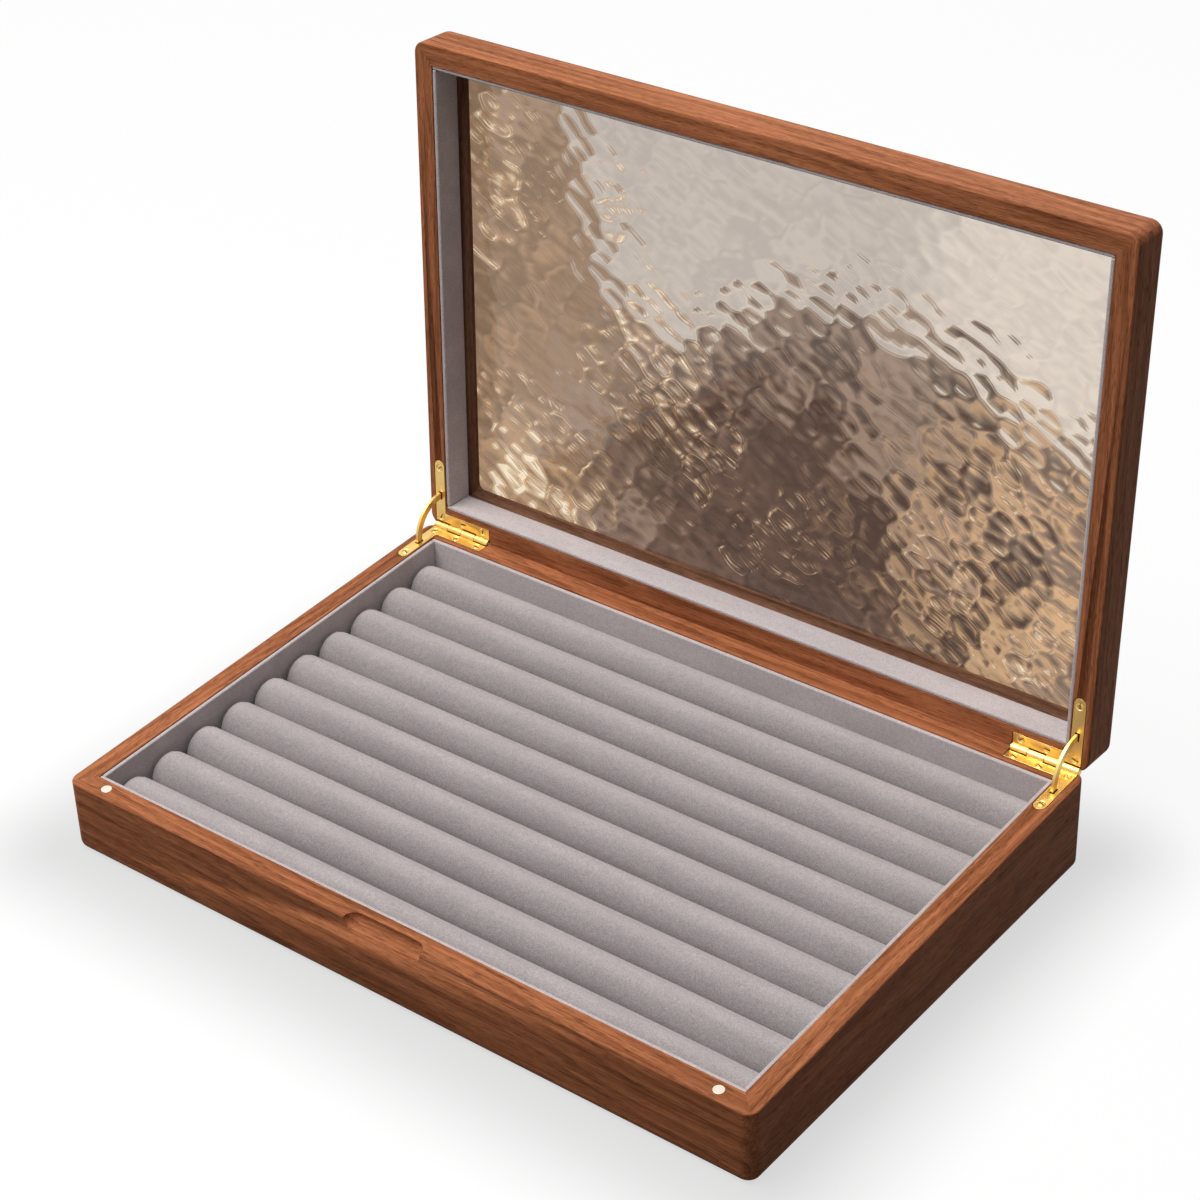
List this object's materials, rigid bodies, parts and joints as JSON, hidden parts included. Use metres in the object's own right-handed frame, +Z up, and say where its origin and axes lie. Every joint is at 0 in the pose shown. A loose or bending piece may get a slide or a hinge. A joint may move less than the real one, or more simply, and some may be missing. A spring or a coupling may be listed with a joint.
{
  "type": "ring display box",
  "caption": "Walnut ring display box with a sloping rim, a rippled glass lid held open by quadrant hinges, and a tray of velvet ring rolls.",
  "frame": {"origin": "middle of the underside", "axes": "+X to the right of someone facing the scoop, +Y to the back where the hinges are, +Z up"},
  "size_m": [0.22, 0.1679, 0.176],
  "materials": {
    "walnut": "satin oiled walnut",
    "panel_board": "walnut-faced board",
    "bed_foam": "grey foam wedge",
    "velvet_board": "warm grey velvet over board",
    "velvet_roll": "warm grey velvet over foam",
    "rippled_glass": "bronze tinted, rippled",
    "nickel": "nickel plated",
    "brass": "polished brass"
  },
  "bodies": {
    "case": {"base_front_rail": "walnut", "base_back_rail": "walnut", "base_left_rail": "walnut", "base_right_rail": "walnut", "base_panel": "panel_board", "base_magnets": "nickel", "base_front_liner": "velvet_board", "base_back_liner": "velvet_board", "base_left_liner": "velvet_board", "base_right_liner": "velvet_board", "roll_bed": "bed_foam", "ring_roll_01": "velvet_roll", "ring_roll_02": "velvet_roll", "ring_roll_03": "velvet_roll", "ring_roll_04": "velvet_roll", "ring_roll_05": "velvet_roll", "ring_roll_06": "velvet_roll", "ring_roll_07": "velvet_roll", "ring_roll_08": "velvet_roll", "ring_roll_09": "velvet_roll", "ring_roll_10": "velvet_roll", "left_base_leaf": "brass", "right_base_leaf": "brass", "left_hinge_pin": "brass", "right_hinge_pin": "brass", "base_leaf_screws": "brass"},
    "lid": {"lid_front_rail": "walnut", "lid_back_rail": "walnut", "lid_left_rail": "walnut", "lid_right_rail": "walnut", "glass_pane": "rippled_glass", "lid_magnets": "nickel", "lid_front_liner": "velvet_board", "lid_back_liner": "velvet_board", "lid_left_liner": "velvet_board", "lid_right_liner": "velvet_board", "left_lid_leaf": "brass", "right_lid_leaf": "brass", "lid_leaf_screws": "brass"},
    "left_stay": {"left_stay": "brass"},
    "right_stay": {"right_stay": "brass"}
  },
  "joints": [
    {"name": "lid_hinge", "type": "hinge", "parent": "case", "child": "lid", "pos_m": [0, 0.074, 0.028], "axis": [1, 0, 0], "range_deg": [0, 95]},
    {"name": "left_stay_swing", "type": "hinge", "parent": "case", "child": "left_stay", "pos_m": [0, 0.074, 0.028], "axis": [1, 0, 0], "range_deg": [0, 47.5]},
    {"name": "right_stay_swing", "type": "hinge", "parent": "case", "child": "right_stay", "pos_m": [0, 0.074, 0.028], "axis": [1, 0, 0], "range_deg": [0, 47.5]}
  ],
  "couplings": [
    {"joint": "left_stay_swing", "follows": "lid_hinge", "ratio": 0.5},
    {"joint": "right_stay_swing", "follows": "lid_hinge", "ratio": 0.5}
  ]
}
